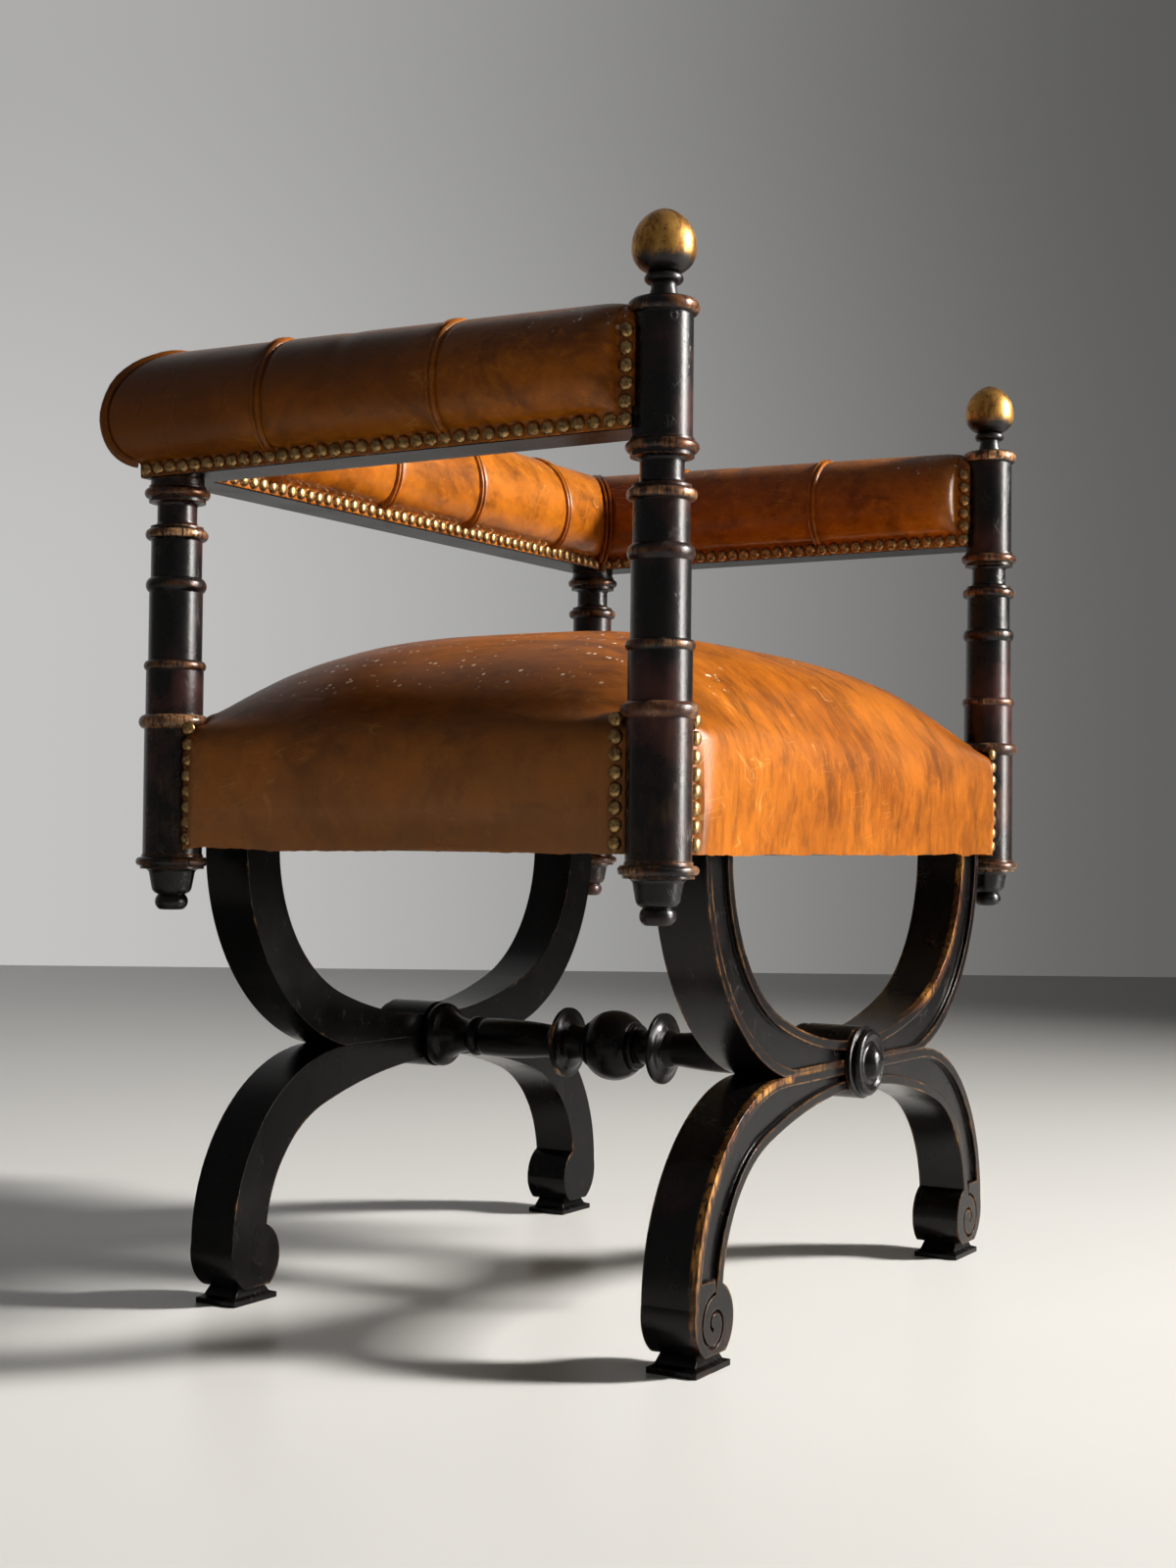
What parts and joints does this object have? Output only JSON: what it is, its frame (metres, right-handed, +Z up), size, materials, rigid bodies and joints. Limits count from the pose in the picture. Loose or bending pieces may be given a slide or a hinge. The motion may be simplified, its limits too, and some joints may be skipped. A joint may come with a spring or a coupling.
{
  "type": "armed stool",
  "caption": "Low period stool on two X-shaped scroll-footed frames, with turned posts, a crowned leather seat and a padded leather roll along the arms and back.",
  "frame": {"origin": "on the floor, in the middle of the object's length and depth", "axes": "+Z up, the open front of the seat faces -Y, +X to the right of someone who looks at the front from -Y"},
  "size_m": [0.6836, 0.4734, 0.75],
  "materials": {
    "ebonised_wood": "ebonised and polished, worn to brown on the edges",
    "gilt": "gilded turned wood, rubbed",
    "leather": "tan leather, waxed and scuffed",
    "brass": "antique brass",
    "bare_beech": "bare beech",
    "webbing": "woven jute",
    "hessian": "open woven jute",
    "stuffing": "curled horsehair",
    "spring_steel": "plain wire"
  },
  "bodies": {
    "root": {"back_boss": "ebonised_wood", "back_cover": "leather", "back_left_foot": "ebonised_wood", "back_left_pendant": "ebonised_wood", "back_left_post": "ebonised_wood", "back_lower_cross": "ebonised_wood", "back_nails": "brass", "back_piping": "leather", "back_rail": "ebonised_wood", "back_right_foot": "ebonised_wood", "back_right_pendant": "ebonised_wood", "back_right_post": "ebonised_wood", "back_seat_rail": "bare_beech", "back_stuffing": "stuffing", "back_upper_cross": "ebonised_wood", "cross_seat_dowels": "bare_beech", "cross_waist_dowels": "bare_beech", "front_boss": "ebonised_wood", "front_left_finial": "gilt", "front_left_foot": "ebonised_wood", "front_left_pendant": "ebonised_wood", "front_left_post": "ebonised_wood", "front_lower_cross": "ebonised_wood", "front_right_finial": "gilt", "front_right_foot": "ebonised_wood", "front_right_pendant": "ebonised_wood", "front_right_post": "ebonised_wood", "front_seat_rail": "bare_beech", "front_upper_cross": "ebonised_wood", "left_arm_cover": "leather", "left_arm_nails": "brass", "left_arm_piping": "leather", "left_arm_rail": "ebonised_wood", "left_arm_stuffing": "stuffing", "left_seat_rail": "bare_beech", "right_arm_cover": "leather", "right_arm_nails": "brass", "right_arm_piping": "leather", "right_arm_rail": "ebonised_wood", "right_arm_stuffing": "stuffing", "right_seat_rail": "bare_beech", "roll_rail_dowels": "bare_beech", "seat_corner_blocks": "bare_beech", "seat_cover": "leather", "seat_hessian": "hessian", "seat_nails": "brass", "seat_springs": "spring_steel", "seat_stuffing": "stuffing", "stretcher": "ebonised_wood", "webbing_crosswise": "webbing", "webbing_lengthwise": "webbing"}
  },
  "joints": []
}
